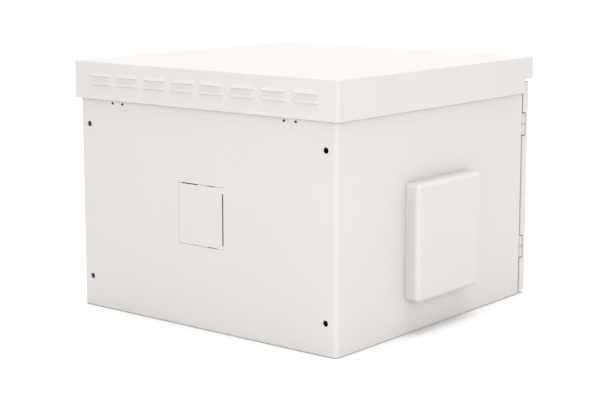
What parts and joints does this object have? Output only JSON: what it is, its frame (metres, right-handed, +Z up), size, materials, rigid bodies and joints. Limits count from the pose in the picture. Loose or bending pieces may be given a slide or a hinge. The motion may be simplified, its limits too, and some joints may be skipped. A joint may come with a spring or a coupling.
{
  "type": "network server rack cabinet",
  "caption": "Square wall-mount steel cabinet for 19-inch network equipment: louvred rain canopy, hinged front door with cam lock, side filter fan under a hood, cable knock-out, sliding rails.",
  "frame": {"origin": "on the underside of the floor pan, in the middle of the body's 600 x 577 mm footprint", "axes": "+Z up; -Y is the front, with the door; +X is to the right when the front is looked at, so the hinges and the filter fan are at -X"},
  "size_m": [0.635, 0.6182, 0.46],
  "materials": {
    "body_paint": "light warm grey fine-texture powder coat, satin",
    "zinc_steel": "zinc-plated sheet steel, satin",
    "chrome_plate": "bright plated",
    "black_screw": "black oxide, semi-matte",
    "seal_foam": "closed-cell foam, matte",
    "light_plastic": "moulded, fine grain",
    "black_plastic": "glass-filled, fine grain",
    "filter_fleece": "non-woven filter fleece"
  },
  "bodies": {
    "cabinet": {"body_wrap": "body_paint", "bracket_screw_1": "black_screw", "bracket_screw_2": "black_screw", "bracket_screw_3": "black_screw", "bracket_screw_4": "black_screw", "ceiling_bracket_left": "zinc_steel", "ceiling_bracket_right": "zinc_steel", "ceiling_pan": "body_paint", "depth_bar_left_high": "zinc_steel", "depth_bar_left_low": "zinc_steel", "depth_bar_right_high": "zinc_steel", "depth_bar_right_low": "zinc_steel", "fan_hood": "body_paint", "fan_housing": "black_plastic", "filter_frame": "light_plastic", "filter_mat": "filter_fleece", "finger_guard": "chrome_plate", "floor_entry_cover": "body_paint", "floor_entry_seal": "seal_foam", "floor_pan": "body_paint", "front_frame": "body_paint", "hinge_lower_frame_half": "body_paint", "hinge_lower_pin": "zinc_steel", "hinge_upper_frame_half": "body_paint", "hinge_upper_pin": "zinc_steel", "rear_entry_cover": "zinc_steel", "rear_entry_seal": "seal_foam", "rear_knockout": "body_paint", "roof_canopy": "body_paint", "roof_screw_1": "zinc_steel", "roof_screw_2": "zinc_steel", "roof_screw_3": "zinc_steel", "roof_screw_4": "zinc_steel", "roof_spacer_left": "zinc_steel", "roof_spacer_right": "zinc_steel", "strike_plate": "zinc_steel", "thermostat_body": "light_plastic"},
    "door": {"door_panel": "body_paint", "door_seal": "seal_foam", "hinge_lower_door_half": "body_paint", "hinge_upper_door_half": "body_paint", "lock_housing": "chrome_plate", "lock_nut": "zinc_steel"},
    "lock": {"lock_plug": "chrome_plate", "lock_cam": "zinc_steel"},
    "lock_cap": {"lock_cap": "chrome_plate"},
    "fan_rotor": {"fan_rotor": "black_plastic"},
    "thermostat_dial": {"thermostat_dial": "black_plastic"},
    "rail_front_left": {"rail_front_left": "zinc_steel", "rail_bolt_front_left_low": "zinc_steel", "rail_bolt_front_left_high": "zinc_steel"},
    "rail_front_right": {"rail_front_right": "zinc_steel", "rail_bolt_front_right_low": "zinc_steel", "rail_bolt_front_right_high": "zinc_steel"},
    "rail_rear_left": {"rail_rear_left": "zinc_steel", "rail_bolt_rear_left_low": "zinc_steel", "rail_bolt_rear_left_high": "zinc_steel"},
    "rail_rear_right": {"rail_rear_right": "zinc_steel", "rail_bolt_rear_right_low": "zinc_steel", "rail_bolt_rear_right_high": "zinc_steel"}
  },
  "joints": [
    {"name": "door_hinge", "type": "hinge", "parent": "cabinet", "child": "door", "pos_m": [-0.2955, -0.2985, 0.211], "axis": [0, 0, -1], "range_deg": [0, 120]},
    {"name": "lock_turn", "type": "hinge", "parent": "door", "child": "lock", "pos_m": [0.25, -0.3125, 0.208], "axis": [0, -1, 0], "range_deg": [0, 90]},
    {"name": "lock_cap_swing", "type": "hinge", "parent": "door", "child": "lock_cap", "pos_m": [0.25, -0.3125, 0.22], "axis": [0, -1, 0], "range_deg": [-120, 120]},
    {"name": "fan_spin", "type": "hinge", "parent": "cabinet", "child": "fan_rotor", "pos_m": [-0.2885, -0.005, 0.16], "axis": [1, 0, 0], "continuous": true},
    {"name": "thermostat_dial_turn", "type": "hinge", "parent": "cabinet", "child": "thermostat_dial", "pos_m": [0.2617, 0, 0.21], "axis": [-1, 0, 0], "range_deg": [-135, 135]},
    {"name": "rail_front_left_slide", "type": "slide", "parent": "cabinet", "child": "rail_front_left", "axis": [0, 1, 0], "range_m": [0, 0.13]},
    {"name": "rail_front_right_slide", "type": "slide", "parent": "cabinet", "child": "rail_front_right", "axis": [0, 1, 0], "range_m": [0, 0.13]},
    {"name": "rail_rear_left_slide", "type": "slide", "parent": "cabinet", "child": "rail_rear_left", "axis": [0, -1, 0], "range_m": [0, 0.15]},
    {"name": "rail_rear_right_slide", "type": "slide", "parent": "cabinet", "child": "rail_rear_right", "axis": [0, -1, 0], "range_m": [0, 0.15]}
  ]
}
